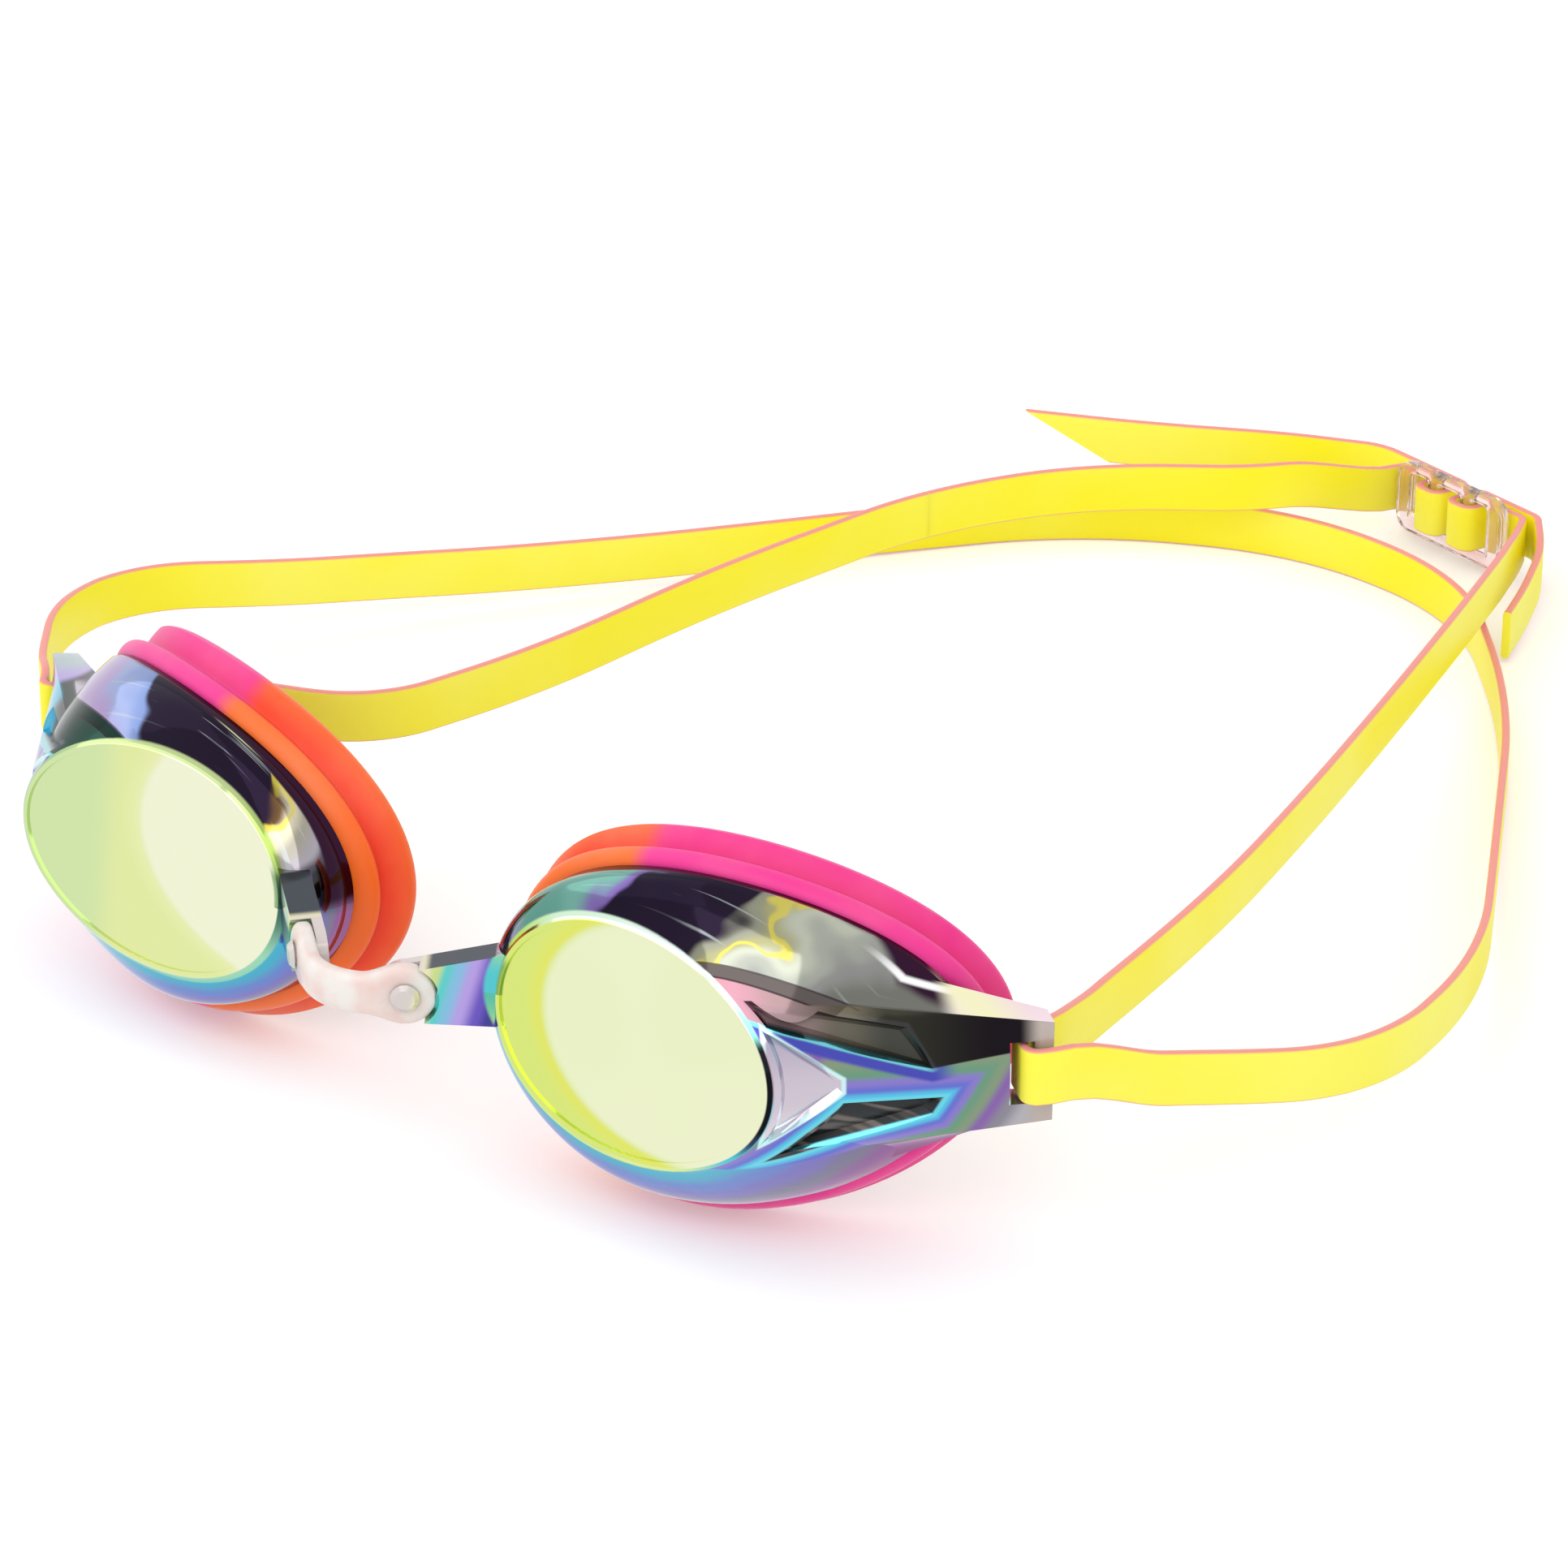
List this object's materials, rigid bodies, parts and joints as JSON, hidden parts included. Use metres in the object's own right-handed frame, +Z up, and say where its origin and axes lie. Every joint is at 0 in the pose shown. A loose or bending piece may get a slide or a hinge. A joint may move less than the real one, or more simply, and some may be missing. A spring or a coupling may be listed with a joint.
{
  "type": "swim goggles",
  "caption": "Racing swim goggles with mirrored oval lens cups, silicone gaskets, an elastic nose bridge, and a looped flat strap that passes through a plastic buckle.",
  "frame": {"origin": "on the table under the middle of the goggles' bounding box, lenses and strap together", "axes": "+Z is up, -Y is the way the wearer looks, and +X is towards the wearer's left"},
  "size_m": [0.1938, 0.2249, 0.0419],
  "materials": {
    "mirror_polycarbonate": "polished clear plastic with a thin iridescent mirror coating",
    "pink_silicone": "satin silicone",
    "orange_silicone": "satin silicone",
    "milky_elastomer": "translucent satin elastomer",
    "clear_plastic": "clear gloss plastic",
    "yellow_silicone": "satin silicone"
  },
  "bodies": {
    "left_frame": {"left_lens_cup": "mirror_polycarbonate", "left_gasket_temple": "pink_silicone", "left_gasket_nose": "orange_silicone", "nose_bridge": "milky_elastomer", "strap_outer_loop": "yellow_silicone", "strap_left_run": "yellow_silicone", "strap_right_run": "yellow_silicone"},
    "right_frame": {"right_lens_cup": "mirror_polycarbonate", "right_gasket_temple": "pink_silicone", "right_gasket_nose": "orange_silicone"},
    "buckle": {"buckle": "clear_plastic"}
  },
  "joints": [
    {"name": "nose_fold", "type": "hinge", "parent": "left_frame", "child": "right_frame", "pos_m": [0.0105, -0.1112, 0.0206], "axis": [0, 0, -1], "range_deg": [-12, 35], "stiffness_Nm_per_rad": 0.05, "deforming": ["nose_bridge", "strap_outer_loop", "strap_right_run"]},
    {"name": "buckle_slide", "type": "slide", "parent": "left_frame", "child": "buckle", "axis": [0, 1, 0], "range_m": [-0.006, 0.02], "deforming": ["strap_left_run", "strap_right_run"]}
  ]
}
